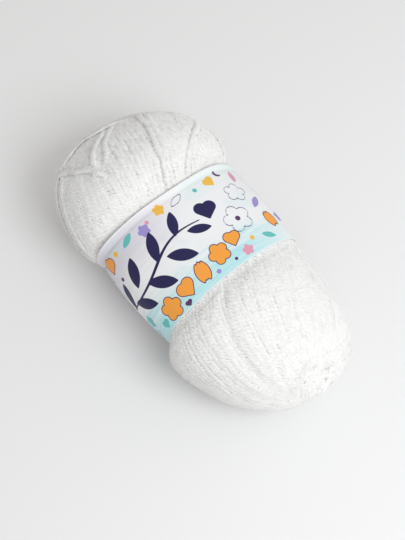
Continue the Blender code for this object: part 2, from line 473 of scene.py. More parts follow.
def sway_together(rng, pace, strands, height):
    """A sway that neighbours share: sines of both the place along and the place round, so that the
    strands gather and part again in bundles but keep their order."""
    turn = np.arange(strands)[:, None] / strands
    total = np.zeros((strands, len(pace)))
    for around, along in SHARED_WAVES:
        phase, other = rng.uniform(0, FULL_TURN, 2)
        total += np.sin(FULL_TURN * around * turn + math.pi * along * pace + phase) / math.sqrt(around)
        total += np.sin(FULL_TURN * around * turn - math.pi * along * pace + other) / math.sqrt(around)
    return total * height / 2


# %% [markdown]
# ## A plied strand
# The yarn is three plies twisted together and pressed a little flat by its neighbours. Its outline is a
# nine-sided ring with a groove between each two plies. The ring's columns turn as they go along, so the
# edges of the mesh follow the plies and few rings are needed.

# %% Carry the plied outline along a path
PLIES = 3
OUTLINE_POINTS = 9
GROOVE = 0.72  # the groove's share of the outline's half width
ROUGHEN = 0.16
PLY_PITCH = 5.6
MOST_TURN = 0.18  # rounds from one ring to the next, so that a ply never skips to its neighbour


def along_lengths(centres):
    """The distance from each path's start, in mm, at each of its points."""
    steps = np.linalg.norm(np.diff(centres, axis=1), axis=2)
    return np.concatenate([np.zeros((len(centres), 1)), np.cumsum(steps, axis=1)], axis=1)


def frames_along(centres, outward):
    """The direction ahead, the one across the strand, and the one that points out of the skein."""
    ahead = unit(np.gradient(centres, axis=1))
    across = unit(np.cross(ahead, outward))
    return ahead, across, np.cross(across, ahead)


def plied_tubes(centres, outward, half_across, half_deep, start_twist, seed):
    """Points, faces, corner coordinates and strand numbers of tubes along (strands, samples) centres.
    A point is the centre, plus cos(a) across and sin(a) up, where a turns by one round in PLY_PITCH mm
    and a groove's columns are nearer the centre than the others. Each point is also moved in or out a
    little at random, as brushed plies are uneven. A corner's coordinates are the length along the strand
    in mm and the share of a round."""
    strands, samples = centres.shape[:2]
    columns = OUTLINE_POINTS
    _, across, up = frames_along(centres, outward)
    gone = along_lengths(centres)
    turns = np.minimum(np.diff(gone, axis=1) / PLY_PITCH, MOST_TURN)
    turns = np.concatenate([np.zeros((strands, 1)), np.cumsum(turns, axis=1)], axis=1) + start_twist
    column = np.arange(columns)
    rng = np.random.default_rng(seed)
    outline = np.where(column % (columns // PLIES) == 0, GROOVE, 1.0)
    outline = outline * (1 + ROUGHEN * rng.uniform(-1, 1, (strands, samples, columns)))
    angle = FULL_TURN * (column / columns + turns[..., None])
    wide = (np.cos(angle) * outline * half_across[..., None])[..., None] * across[:, :, None]
    deep = (np.sin(angle) * outline * half_deep[..., None])[..., None] * up[:, :, None]
    points = (centres[:, :, None] + wide + deep).reshape(-1, 3)

    quads, caps = tube_faces(strands, samples, columns)
    u = np.repeat(gone, columns, axis=1).reshape(-1)[quads]
    side = quads % columns
    at_seam = (side == 0) & (side.max(axis=1, keepdims=True) == columns - 1)
    v = np.where(at_seam, columns, side) / columns
    uv = np.concatenate([np.stack([u, v], axis=-1).reshape(-1, 2), np.zeros((caps.size, 2))])
    numbers = np.repeat(np.arange(strands), samples * columns)
    return points, [quads, caps], uv, numbers


print("one ply comes round every", round(PLY_PITCH / PLIES, 2), "mm")

# %% [markdown]
# ## Yarn
# Brushed acrylic is matte and nearly pure white. Light that falls between two strands is thrown back and
# forth until it comes out again, so the grooves stay bright, and that needs no scattering inside the
# strands: their meshes cross each other, and light that enters one would be lost in the next. The grooves
# between the plies have painted shade: their colour is a little darker. A fine film of glitter is spun in
# with the plies, and shows as small smooth flecks. The pattern follows each strand, because it reads the
# strand's own coordinates: the length along it in mm, and the way round it.

# %% Make the yarn material
YARN_WHITE = (0.918, 0.918, 0.910, 1.0)
# the darker end of the yarn's colour, reached by random tone and by the painted shade in the ply grooves
YARN_TONE_AND_SHADE = (0.77, 0.77, 0.745, 1.0)
GLITTER = (0.97, 0.96, 1.0, 1.0)
YARN_ROUGHNESS = 0.85


def yarn_material(name):
    """White acrylic: fibres as fine bumps along the ply, tone that varies by strand, painted shade in the ply
    grooves, glitter flecks.
    """
    material, tree, shader = new_material(
        name, Roughness=YARN_ROUGHNESS, Sheen_Weight=0.8, Sheen_Roughness=0.6, Specular_IOR_Level=0.2,
    )
    lay = make(tree, "ShaderNodeUVMap", {"uv_map": "lay"})
    stretched = make(tree, "ShaderNodeMapping", Vector=lay, Scale=(0.55, 14.0, 1.0))
    fibres = make(tree, "ShaderNodeTexNoise", Vector=stretched, Scale=1.0, Detail=3.0, Roughness=0.65)
    place = make(tree, "ShaderNodeTexCoord", output=3)
    mottle = make(tree, "ShaderNodeTexNoise", Vector=place, Scale=700.0, Detail=1.0)
    tone = make(tree, "ShaderNodeAttribute", {"attribute_name": "tone"}, output=2)
    way_round = make(tree, "ShaderNodeSeparateXYZ", output=1, Vector=lay)
    # painted shade: the colour darkens in the grooves between the plies, on top of the grooves cut into the
    # outline
    painted_groove_shade = (way_round * (FULL_TURN * PLIES)).math("COSINE").rise(0.2, 1.0)
    # random tone from fibres, mottle and strand, plus the painted groove shade
    tone_and_painted_shade = fibres.rise(0.62, 0.30) * 0.12 + mottle.rise(0.60, 0.38) * 0.16 + tone * 0.10 + painted_groove_shade * 0.20
    fleck_place = make(tree, "ShaderNodeMapping", Vector=lay, Scale=(0.8, 9.0, 1.0))
    flecks = make(tree, "ShaderNodeTexVoronoi", {"feature": "F1"}, Vector=fleck_place, Scale=1.0)
    spot = flecks.rise(0.17, 0.10)
    colour = blend_colours(tree, spot, blend_colours(tree, tone_and_painted_shade, YARN_WHITE, YARN_TONE_AND_SHADE), GLITTER)
    connect(tree, shader.inputs["Base Color"], colour)
    connect(tree, shader.inputs["Metallic"], spot * 0.35)
    connect(tree, shader.inputs["Roughness"], YARN_ROUGHNESS - spot * 0.55)
    bump = make(tree, "ShaderNodeBump", Height=fibres, Strength=0.4, Distance=0.0002)
    connect(tree, shader.inputs["Normal"], bump)
    return material


YARN = yarn_material("brushed_acrylic")
print("the yarn's finish has", len(YARN.node_tree.nodes), "nodes")

# %% [markdown]
# ## The core
# What lies under the outer strands is only glimpsed between them, so it is one closed surface, a little
# inside the wound form. It also closes the floor of each hollow.

# %% Lay the core
CORE_DEPTH = 0.8
CORE_ROWS = 110
CORE_COLUMNS = 96
CORE_ENDS = 0.12  # rows from a hollow's floor to the core's nearest ring
LEAST_HEIGHT = 1.6
SLIT_DEPTH = 1.3
SLIT_WIDE, SLIT_LONG = 1.5, 4.5
SLIT_ANGLE = math.radians(70)


def slit_depth(at, angle):
    """How deep the near hollow's slit is below the surface: a bell curve, narrow across and long ahead."""
    distance = np.interp(at, NEAR_RULER[0][::-1], NEAR_RULER[1][::-1])
    beside = distance * np.sin(angle - SLIT_ANGLE) / SLIT_WIDE
    ahead = distance * np.cos(angle - SLIT_ANGLE) / SLIT_LONG
    return SLIT_DEPTH * np.exp(-(beside**2) - ahead**2) * (at > NEAR_RIM)


def make_core():
    """The wound form from floor to floor, moved inwards, with a point at each end."""
    at = np.linspace(CORE_ENDS, LAST_ROW - CORE_ENDS, CORE_ROWS)
    angle = np.linspace(0, FULL_TURN, CORE_COLUMNS, endpoint=False)
    at_grid, angle_grid = np.meshgrid(at, angle, indexing="ij")
    point, out = surface(at_grid, angle_grid)
    depth = CORE_DEPTH + slit_depth(at_grid, angle_grid)
    points = (point - out * depth[..., None]).reshape(-1, 3)
    points[:, 2] = np.maximum(points[:, 2], LEAST_HEIGHT)
    poles = section_point(np.array([0.0, LAST_ROW]), np.array([0.0, 0.0]))
    poles[:, 0] += CORE_DEPTH, -CORE_DEPTH - SLIT_DEPTH
    faces = grid_faces(CORE_ROWS, CORE_COLUMNS)[:, ::-1]
    first = np.arange(CORE_COLUMNS)
    after = np.roll(first, -1)
    low = np.stack([np.full(CORE_COLUMNS, len(points)), after, first], axis=1)
    base = (CORE_ROWS - 1) * CORE_COLUMNS
    high = np.stack([np.full(CORE_COLUMNS, len(points) + 1), base + first, base + after], axis=1)
    points = np.concatenate([points, poles])
    return new_piece("wound_core", points, [faces, low, high], YARN)


core = make_core()

# %% [markdown]
# ## The lobes
# More than a hundred strands lie side by side round each lobe. They are laid in bundles, as the winder
# lays them: the strands of a bundle step up over each other, and where one bundle ends and the next
# begins there is a shallow crease. No two pass the hollow at quite the same distance. The run that comes
# out from under the band lies on top and is sampled finely, and the run home is hidden below it.

# %% How deep the strands lie
OUTWARD_END = 0.16  # past this pace a strand runs home out of sight, with fewer rings
PACE = np.concatenate([np.linspace(-1.0, OUTWARD_END, 106), np.linspace(OUTWARD_END, 1.0, 34)[1:]])
STRAND_HALF_ACROSS = 2.0
STRAND_HALF_DEEP = 0.54
BEDDED = 0.10  # mm that the top of a strand lies below the form
BEDDED_UNDER_BAND = 0.25
HOMEWARD_SINK = 0.30
CROSSING_SINK = 0.22
BUNDLE_SIZE = 7.3
BUNDLE_STEP = 0.05
UNEVEN_DEPTH = 0.035


def strand_depth(rng, number, t, free):
    """How deep the strands' middles lie in mm: the homeward run below the outward one, random levels
    where all cross beside the hollow, the steps of a bundle, and a slow unevenness."""
    count = len(number)
    homeward = soft_step(-14.0, 16.0, t)
    bundle = (number / BUNDLE_SIZE + 0.25 * np.sin(number * 0.55)) % 1.0
    crossing = rng.uniform(0.0, 1.0, count)[:, None] * CROSSING_SINK * soft_step(26.0, 8.0, np.abs(t))
    depth = STRAND_HALF_DEEP + BEDDED + homeward * HOMEWARD_SINK + crossing
    depth = depth - (bundle[:, None] - 0.5) * BUNDLE_STEP * free
    depth = depth + wander(rng, PACE, count, (2, 4, 7), UNEVEN_DEPTH) * free
    return np.where(free < 0.5, np.maximum(depth, STRAND_HALF_DEEP + BEDDED_UNDER_BAND), depth)


print("rings to a strand", len(PACE))

# %% Lay the strands of both lobes
LEAST_RADIUS = 6.0
SWAY_TOGETHER = 0.5
SWAY_ALONE = 0.28
OFF_FLOOR = 0.15
PIECE_BUNDLE = 8  # strands in a row that go to the same piece


def lobe_strands(name, ruler, count, sense, seed, closest_pass):
    """The strands of one lobe, as two pieces of alternate bundles, and their paths."""
    rng = np.random.default_rng(seed)
    number = np.arange(count)
    turn = FULL_TURN * (number + rng.normal(0, 0.05, count)) / count
    low, high = closest_pass
    closest = (low + high) / 2 + (high - low) / 2 * (0.7 * np.sin(2 * turn + 1.0) + 0.3 * np.sin(5 * turn))
    closest = closest + rng.uniform(-0.2, 0.2, count)
    t, at, angle = strand_runs(ruler, turn, closest, sense, PACE)
    order = np.argsort(ruler[0])
    reach = np.maximum(np.interp(at, ruler[0][order], ruler[2][order]), LEAST_RADIUS)
    free = outside_band(through_rows(ALONG, at))
    angle = angle + sway_together(rng, PACE, count, SWAY_TOGETHER) / reach
    angle = angle + wander(rng, PACE, count, (7, 13, 22), SWAY_ALONE) / reach

    depth = strand_depth(rng, number, t, free)
    point, out = surface(at, even_round(angle))
    centres = point - out * depth[..., None]
    thick = (1 + rng.normal(0, 0.05, (count, 1))) * (1 + wander(rng, PACE, count, (19, 31), 0.04))
    half_across, half_deep = STRAND_HALF_ACROSS * thick, STRAND_HALF_DEEP * thick
    centres[..., 2] = np.maximum(centres[..., 2], half_deep + OFF_FLOOR)
    twist = rng.uniform(0, 1, (count, 1))
    tone = rng.uniform(0, 1, count)
    made = []
    for half in (0, 1):
        chosen = (number // PIECE_BUNDLE) % 2 == half
        points, faces, uv, strand = plied_tubes(
            centres[chosen], out[chosen], half_across[chosen], half_deep[chosen], twist[chosen], seed + half,
        )
        fields = {"tone": tone[chosen][strand]}
        made.append(new_piece(f"{name}_{'ab'[half]}", points, faces, YARN, uv, fields))
    return made, (centres, out, half_deep, free)


far_strands, far_paths = lobe_strands("far_lobe_yarn", FAR_RULER, 110, -1.0, 11, (11.0, 19.0))
near_strands, near_paths = lobe_strands("near_lobe_yarn", NEAR_RULER, 102, 1.0, 23, (9.0, 16.0))

# %% [markdown]
# ## Inside the hollows
# The strands of the lobes turn round each hollow's lip. Its wall shows too, from the ends, so a few
# strands that pass nearer its middle line it. Their ends sink under the others.

# %% Line both hollows
LINING_STRANDS = 20
LINING_REACH = 27.0
LINING_SAMPLES = 65
LINING_WIDEST = 9.0
LINING_HALF_ACROSS, LINING_HALF_DEEP = 1.7, 0.8
GOLDEN_ANGLE = 2.4  # each strand faces another way than those before it


def hollow_lining(name, ruler, sense, seed, nearest, proud):
    """Strands that pass from `nearest` to LINING_WIDEST mm from the floor's middle, each at the golden
    angle from the last, and swell into the hollow by `proud` mm."""
    rng = np.random.default_rng(seed)
    number = np.arange(LINING_STRANDS)
    step = number // 2 / (LINING_STRANDS / 2 - 1)
    closest = nearest + (LINING_WIDEST - nearest) * step
    pace = np.linspace(-1.0, 1.0, LINING_SAMPLES) * LINING_REACH / ruler[1][-1]
    t, at, angle = strand_runs(ruler, np.zeros(LINING_STRANDS), closest, sense, pace)
    angle = angle + (number * GOLDEN_ANGLE)[:, None] - angle[:, [LINING_SAMPLES // 2]]
    depth = STRAND_HALF_DEEP + 0.05 + 0.15 * step[:, None] + 1.6 * soft_step(12.0, LINING_REACH, np.abs(t))
    depth = depth - proud * soft_step(14.0, 7.0, np.hypot(closest[:, None], t))
    if ruler is NEAR_RULER:
        depth = depth + slit_depth(at, angle)
    point, out = surface(at, angle)
    centres = point - out * depth[..., None]
    size = np.ones_like(depth)
    twist = rng.uniform(0, 1, (LINING_STRANDS, 1))
    points, faces, uv, strand = plied_tubes(
        centres, out, LINING_HALF_ACROSS * size, LINING_HALF_DEEP * size, twist, seed,
    )
    return new_piece(name, points, faces, YARN, uv, {"tone": rng.uniform(0, 1, LINING_STRANDS)[strand]})


linings = [
    hollow_lining("far_hollow_lining", FAR_RULER, -1.0, 3, 1.5, 0.4),
    hollow_lining("near_hollow_lining", NEAR_RULER, 1.0, 4, 0.8, 0.1),
]

# %% [markdown]
# ## Loose turns
# A few turns were laid last, or slipped, and stand proud of the others. They are what the eye follows on
# the far lobe. Each is given by a few places it passes, along the skein and round it, and a smooth curve
# through them is laid on the form. Its ends sink into the winding.

# %% Say where the loose turns pass
# the places in mm along X and degrees round, then how proud of the form the turn stands in mm
LOOSE_TURNS = {
    "round_far_end": ((
        (-73.5, 160), (-76, 150), (-79.5, 134), (-82, 122), (-82.3, 108), (-80.5, 95), (-80, 83), (-77, 64),
    ), 0.55),
    "down_far_side": ((
        (-31, 203), (-47, 192), (-56, 187), (-62.5, 178), (-68.6, 171), (-73.5, 160), (-76.5, 148),
        (-78, 138),
    ), 0.2),
    "beside_it": ((
        (-33, 186), (-43, 180), (-49, 172), (-57, 166), (-64.5, 160), (-69.6, 152), (-74, 146), (-77, 140),
    ), 0.0),
    "over_far_crown": ((
        (-76, 58), (-72, 65), (-61, 74), (-51, 80), (-43, 83), (-37, 85.5), (-29.5, 88.5),
    ), 0.1),
    "over_far_crown_2": ((
        (-74, 56), (-67, 64.5), (-55, 74.5), (-45.5, 79.5), (-38.5, 82), (-29.5, 85),
    ), -0.05),
    "far_valley_edge": ((
        (-61, 12), (-56, 26), (-51, 37), (-45, 51.5), (-40.5, 60), (-37, 65.5), (-33.4, 70), (-29, 73),
    ), 0.0),
    "across_far_side": ((
        (-77, 156), (-74.5, 148), (-72, 140), (-68, 131), (-61, 121), (-56, 116.5), (-50, 112),
    ), 0.75),
    "up_far_side": ((
        (-80, 88), (-76, 94), (-73, 101), (-68.6, 108), (-61.5, 115), (-56.5, 118), (-54, 119),
    ), 0.2),
    "up_far_side_2": (((-79, 82), (-76, 88), (-70.6, 95.5), (-61.5, 104.5), (-56, 108)), -0.15),
    "far_side_low": (((-76, 200), (-66, 214), (-52, 224), (-30, 232)), 0.4),
    "far_right": (((-29, 20), (-44, 14), (-60, 4), (-73, -14), (-81, -40)), 0.3),
}
print("loose turns", len(LOOSE_TURNS))

# %% Lay the loose turns
LOOSE_HALF_ACROSS = 2.0
LOOSE_HALF_DEEP = 0.72
LOOSE_STEP = 0.9
LOOSE_SWAY = 0.3
END_SHARE = 0.12  # of a turn's length, over which each end sinks
END_DEPTH = 0.6
NESTED = 0.35  # of a strand's half thickness, by which a loose turn sits between those below it
MEAN_RADIUS = 30.0
LIP_ROWS = (3.0, 23.0)  # the lips of the hollows, between which X only grows


def smooth_through(values, samples):
    """A curve through the values at whole numbers, with slopes from the neighbours."""
    return through_rows(np.array(values, dtype=float), np.linspace(0, len(values) - 1.001, samples))


def row_at(x):
    """The row number whose section stands at x, between the two lips."""
    rows = np.linspace(*LIP_ROWS, 2000)
    return np.interp(x, through_rows(ALONG, rows), rows)


def lay_turns():
    """All the loose turns in one piece: curves through their places, proud of the form by the height
    that each states, and sunk at both ends."""
    rng = np.random.default_rng(5)
    points, quads, caps, uv_quads, uv_caps, tones, paths = [], [], [], [], [], [], []
    start = 0
    for places, proud in LOOSE_TURNS.values():
        x, angle = np.array(places, dtype=float).T
        rough = section_point(row_at(x), np.radians(angle))
        samples = int(np.linalg.norm(np.diff(rough, axis=0), axis=1).sum() / LOOSE_STEP)
        share = np.linspace(0.0, 1.0, samples)
        at = row_at(smooth_through(x, samples))
        turn = np.radians(smooth_through(angle, samples))
        turn = turn + wander(rng, share * 2 - 1, 1, (2, 3), LOOSE_SWAY)[0] / MEAN_RADIUS
        point, out = surface(at, turn)
        laid = soft_step(0.0, END_SHARE, share) * soft_step(1.0, 1.0 - END_SHARE, share)
        height = (proud + END_DEPTH) * laid - END_DEPTH - STRAND_HALF_DEEP * NESTED
        centres = (point + out * height[:, None])[None]
        size = (1 + 0.04 * np.sin(share * 40))[None]
        twist = rng.uniform(0, 1, (1, 1))
        made, faces, uv, _ = plied_tubes(
            centres, out[None], LOOSE_HALF_ACROSS * size, LOOSE_HALF_DEEP * size, twist, start,
        )
        points.append(made)
        quads.append(faces[0] + start)
        caps.append(faces[1] + start)
        uv_quads.append(uv[: faces[0].size])
        uv_caps.append(uv[faces[0].size :])
        tones.append(np.full(len(made), rng.uniform(0.0, 0.3)))
        paths.append((centres, out[None], size, np.ones((1, samples))))
        start += len(made)
    piece = new_piece(
        "loose_turns", np.concatenate(points), [np.concatenate(quads), np.concatenate(caps)], YARN,
        np.concatenate(uv_quads + uv_caps), {"tone": np.concatenate(tones)},
    )
    return piece, paths


loose_turns, loose_paths = lay_turns()

# %% [markdown]
# ## Fuzz
# Brushed yarn is covered with fine fibres that stand off it and soften every edge. Each is a hair that
# leaves a strand, arches and comes back towards it. They are thin three-sided tubes, joined in one mesh,
# because a shape that is repeated thousands of times has to be a very small one.

# %% Root the fibres
LOBE_SHARE, LOOSE_SHARE = 0.46, 0.08  # of the fibres: on each lobe, and on all the loose turns
SHOWN_PACE = 0.3  # past it a strand runs home, under the others


def fibre_roots(paths, count, rng):
    """Random places on the outer side of the strands that lie free of the band, and their directions."""
    centres, out, half_deep, free = paths
    ahead, across, up = frames_along(centres, out)
    shown = free > 0.6
    if free.shape[1] == len(PACE):
        shown = shown & (PACE < SHOWN_PACE)
    shown = np.flatnonzero(shown.ravel())
    pick = rng.choice(shown, count)
    lean = rng.uniform(-1.1, 1.1, (count, 1))
    flat = [grid.reshape(-1, 3)[pick] for grid in (centres, ahead, across, up)]
    side = flat[3] * np.cos(lean) + flat[2] * np.sin(lean)
    root = flat[0] + side * half_deep.ravel()[pick][:, None] * 0.8
    return root, flat[1], flat[2], side


print("paths to grow on", 2 + len(loose_paths))

# %% Grow the fuzz
FIBRES = 7200
FIBRE_STEPS = 4
FIBRE_SIDES = 3
FIBRE_RADIUS = 0.038
FIBRE_LENGTH = (1.2, 4.2)
FIBRE_WHITE = (0.95, 0.95, 0.94, 1.0)
FIBRE_SHADE = (0.9, 0.9, 0.88, 1.0)


def fibre_material():
    """White hair whose tone drifts slowly from place to place."""
    material, tree, shader = new_material(
        "loose_fibre", Roughness=0.7, Sheen_Weight=0.2, Specular_IOR_Level=0.3,
    )
    place = make(tree, "ShaderNodeTexCoord", output=3)
    tint = make(tree, "ShaderNodeTexNoise", Vector=place, Scale=160.0)
    connect(tree, shader.inputs["Base Color"], blend_colours(tree, tint, FIBRE_WHITE, FIBRE_SHADE))
    return material


def grow_fuzz():
    """Fibres as arches: along the strand, out by a bell of the way along it, and aside by a random bend."""
    rng = np.random.default_rng(77)
    sets = [(far_paths, LOBE_SHARE), (near_paths, LOBE_SHARE)]
    sets += [(path, LOOSE_SHARE / len(loose_paths)) for path in loose_paths]
    roots = [fibre_roots(path, int(FIBRES * share), rng) for path, share in sets]
    root, ahead, across, side = (np.concatenate(column) for column in zip(*roots))
    count = len(root)
    share = np.linspace(0.0, 1.0, FIBRE_STEPS)[None, :, None]
    length = rng.uniform(*FIBRE_LENGTH, (count, 1, 1)) * rng.choice([-1.0, 1.0], (count, 1, 1))
    height = rng.gamma(2.0, 0.32, (count, 1, 1)).clip(0.1, 2.2)
    bend = rng.normal(0, 0.9, (count, 1, 1))
    crook = rng.normal(0, 0.12, (count, FIBRE_STEPS, 1))
    path = root[:, None] + ahead[:, None] * (length * share)
    path = path + side[:, None] * (height * np.sin(share * math.pi * 0.8))
    path = path + across[:, None] * (bend * np.sin(share * 2.4) + crook)
    path[..., 2] = np.maximum(path[..., 2], 0.1)
    _, wide, up = frames_along(path, np.broadcast_to(side[:, None], path.shape))
    angle = np.arange(FIBRE_SIDES) * FULL_TURN / FIBRE_SIDES
    radius = FIBRE_RADIUS * (1 - 0.6 * share)[..., None]
    ring = np.cos(angle)[:, None] * wide[:, :, None] + np.sin(angle)[:, None] * up[:, :, None]
    points = (path[:, :, None] + radius * ring).reshape(-1, 3)
    return new_piece("yarn_fuzz", points, tube_faces(count, FIBRE_STEPS, FIBRE_SIDES), fibre_material())


fuzz = grow_fuzz()

# %% [markdown]
# ## The paper band
# The band is a strip of printed paper, wrapped round the waist and glued where its ends overlap, under
# the skein. It is a thin sheet that follows the waist. Its edges stand off a little where the yarn falls
# away from them, most along the far rim, where the edge catches the light above a thin shadow.

# %% Measure the waist
BAND_OUT = 0.60
PAPER_THICK = 0.24
OVERLAP = 12.0
WAIST_ROW = 13
SEAM_ANGLE = math.radians(290)
FRONT_ANGLE = math.radians(108)

TURNS = np.linspace(0.0, FULL_TURN, ROUND_STEPS)  # from the seam, the way the strip runs
waist = section_point(np.full(ROUND_STEPS, float(WAIST_ROW)), SEAM_ANGLE - TURNS, BAND_OUT, relief=False)
ARC = lengths_along(waist)
BAND_ROUND = ARC[-1]
BAND_ACROSS = ALONG[NEAR_RIM] - ALONG[FAR_RIM]
FRONT = np.interp(SEAM_ANGLE - FRONT_ANGLE, TURNS, ARC)
print("band", round(BAND_ROUND, 1), "mm round and", round(BAND_ACROSS, 1), "mm across")
print("the front of the skein is", round(FRONT, 1), "mm along it")

# %% Give the strip its form
SIDE_SWELL = 1.9
FAR_FLARE = 0.40
FAR_SLANT = 4.6
LIP_RISE = 1.2
LIP_CREASE = 0.7
NEAR_TUCK = 0.42
OVERLAP_LIFT = 0.40
LIFT_RUN = 5  # mm before the overlap over which the strip climbs


def between(angle, low, full_low, full_high, high):
    """1 from the second angle to the third, 0 outside the first and fourth, in degrees, smooth between."""
    rise = soft_step(math.radians(low), math.radians(full_low), angle)
    return rise * soft_step(math.radians(high), math.radians(full_high), angle)


def band_swell(across, angle):
    """How far the paper stands off the waist's section in mm: bowed at the skein's side, flared along the
    far rim with a raised lip and a crease behind it, tucked in along the near rim, and slowly rippled."""
    left = between(angle, 95, 150, 215, 250)
    side = between(angle, 135, 185, 205, 245)
    far_flare = FAR_FLARE + 0.5 * left * (1 - side) + 0.15 * np.sin(7 * angle + 1.0)
    near_tuck = NEAR_TUCK + 0.08 * np.sin(5 * angle + 2.0)
    swell = BAND_OUT + SIDE_SWELL * side * np.sin(math.pi * across)
    swell = swell + far_flare * np.exp(-across * 9) - near_tuck * np.exp(-(1 - across) * 18)
    lip = LIP_RISE * np.exp(-((across / 0.03) ** 2))
    crease = LIP_CREASE * np.exp(-(((across - 0.07) / 0.02) ** 2))
    swell = swell + (0.35 + 0.65 * left) * (lip - crease)
    swell = swell + 0.10 * np.sin(3 * angle + 5 * across) * np.sin(4 * across + 2)
    return swell + 0.05 * np.sin(9 * angle - 6 * across)


def band_place(across, gone, inside=0.0):
    """A point of the strip, from how far across it is (0 far rim, 1 near rim) and how far along it: the
    waist's section, swelled, with the far rim slanting outwards at the side. Past one whole round the
    strip lies on its own start."""
    at = FAR_RIM + across * (NEAR_RIM - FAR_RIM)
    whole = np.floor(gone / BAND_ROUND)
    angle = SEAM_ANGLE - np.interp(gone - whole * BAND_ROUND, ARC, TURNS) - whole * FULL_TURN
    swell = band_swell(across, angle)
    swell = swell + OVERLAP_LIFT * soft_step(BAND_ROUND - LIFT_RUN, BAND_ROUND, gone) - inside
    point = section_point(at, angle, swell, relief=False)
    point[..., 0] -= FAR_SLANT * between(angle, 120, 195, 210, 290) * (1 - across)
    point[..., 0] += (0.35 * np.sin(2 * angle + 0.4) + 0.2 * np.sin(5 * angle)) * np.cos(math.pi * across)
    return point


front_point = band_place(np.array([0.5]), np.array([FRONT]))
print("the middle of the band's front is at", np.round(front_point, 1))

# %% [markdown]
# ## The print
# The paper is printed with a scattered garden pattern in navy, orange, amber, teal, pink and violet, on a
# wash that goes from lilac to aqua. Each motif is a signed distance: a formula that is negative inside a
# shape, zero on its edge and positive outside. The least of the distances of one ink is kept on the
# mesh's points, and the shader inks what lies below zero, so that the edges stay sharp on a fairly
# coarse mesh, and a thin outline is only the places where the distance is nearly zero.

# %% Shapes as signed distances, in mm


def dot(x, y, size):
    """A disc: the distance from the middle less the radius."""
    return np.hypot(x, y) - size / 2


def leaf(x, y, size):
    """A pointed leaf along x: where two discs overlap."""
    half, bulge = size / 2, size * 0.19
    radius = (half**2 + bulge**2) / (2 * bulge)
    return np.maximum(np.hypot(x, y + radius - bulge), np.hypot(x, y - radius + bulge)) - radius


def heart(x, y, size):
    """A heart: half discs above a square that stands on its corner, mirrored left to right."""
    x, y = np.abs(x) / size, y / size + 0.55
    lobe = np.hypot(x - 0.25, y - 0.75) - math.sqrt(2) / 4
    slope = 0.5 * np.maximum(x + y, 0.0)
    side = np.minimum(np.hypot(x, y - 1.0), np.hypot(x - slope, y - slope)) * np.sign(x - y)
    return np.where(x + y > 1.0, lobe, side) * size


def moon(x, y, size):
    """A crescent: a disc less another one beside it."""
    return np.maximum(dot(x, y, size), -dot(x - size * 0.24, y - size * 0.10, size * 0.80))


def flower(x, y, size):
    """Five round petals: a disc off the middle, folded into five sectors, and a disc in the middle."""
    sector = FULL_TURN / 5
    around = np.mod(np.arctan2(y, x) + sector / 2, sector) - sector / 2
    far = np.hypot(x, y)
    petal = np.hypot(far * np.cos(around) - size * 0.30, far * np.sin(around)) - size * 0.20
    return np.minimum(petal, far - size * 0.2)


def bell(x, y, size):
    """A tulip: an oval cup with three points, from overlapping leaves that stand side by side."""
    cup = [leaf(y + abs(side) * size * 0.06, x - side * size * 0.17, size) for side in (-1, 0, 1)]
    return np.minimum(np.minimum(cup[0], cup[1]), cup[2])


def stem(x, y, size):
    """A long curved stem: the distance from a gentle wave, thinner towards its ends."""
    reach = np.clip(np.abs(x) / (size / 2), 0.0, 1.0)
    wave = size * 0.05 * np.sin(FULL_TURN * x / size)
    along = np.maximum(np.abs(x) - size / 2, 0.0)
    return np.hypot(y - wave, along) - 0.75 * (1 - 0.6 * reach)


print("the tip of a 10 mm leaf is at distance", np.round(leaf(np.array([5.0]), np.array([0.0]), 10.0), 2))

# %% Where each motif goes
# shape, ink, place round the band from its front, height above the near rim, size, turn in degrees
MOTIFS = [
    (stem, "navy", -13, 26, 58, 8),
    (leaf, "navy", -37, 26.5, 14, 58),
    (leaf, "navy", -30, 17.5, 14, -38),
    (leaf, "navy", -24, 31, 15, 62),
    (leaf, "navy", -16, 18.5, 15, -36),
    (leaf, "navy", -9, 33.5, 15, 66),
    (leaf, "navy", -1, 21.5, 15, -34),
    (leaf, "navy", 5, 36, 13, 64),
    (leaf, "navy", 13, 26.5, 12, -24),
    (heart, "navy", 21.5, 32, 9.0, -16),
    (flower, "line", 31, 20.5, 14, 20),
    (flower, "line", 40.5, 33, 11, -8),
    (heart, "line", -41, 41, 7, 14),
    (leaf, "line", 14, 44.5, 8, 20),
    (moon, "line", -44, 8.5, 7, 30),
    (flower, "orange", -21, 7.0, 11, 10),
    (heart, "orange", -9.5, 8.5, 7.5, 12),
    (bell, "orange", 1.0, 10.0, 9.5, -8),
    (flower, "orange", 12.5, 11.5, 10.5, 30),
    (heart, "orange", 22, 13.5, 6.5, -14),
    (heart, "orange", -33, 42, 6.5, -20),
    (bell, "orange", 47, 14, 8, 12),
    (dot, "amber", -21, 7.0, 2.6, 0),
    (dot, "amber", -25, 43.5, 2.6, 0),
    (flower, "amber", 4.5, 45.5, 6, 0),
    (dot, "amber", 30.5, 9.0, 2.4, 0),
    (heart, "amber", 33.5, 43.5, 5, 18),
    (dot, "amber", -48, 22, 2.8, 0),
    (leaf, "teal", -16, 44, 8, 24),
    (flower, "teal", -38.5, 12.5, 6.5, 0),
    (heart, "teal", -29.5, 4.5, 4.2, 0),
    (dot, "teal", 24.5, 43.5, 2.2, 0),
    (leaf, "teal", 39.5, 6.5, 8, -30),
    (flower, "pink", 25.0, 5.0, 6, 12),
    (leaf, "pink", 47.5, 42, 8, 66),
    (heart, "pink", -47, 33, 4.6, 8),
    (dot, "pink", -3.5, 44, 2.0, 0),
    (flower, "violet", -7.0, 42.0, 6.2, 30),
    (leaf, "violet", 46.5, 24.5, 9, 40),
    (flower, "violet", -51, 14.5, 6.5, 16),
    (dot, "violet", 7.0, 4.8, 2.4, 0),
    (dot, "plum", -31.5, 33.5, 2.0, 0),
    (dot, "plum", 31, 20.5, 2.6, 0),
    (heart, "plum", -13.0, 2.8, 3.2, 0),
    (dot, "plum", 17.5, 4.6, 1.8, 0),
    (moon, "plum", 40.5, 46, 4, 0),
]
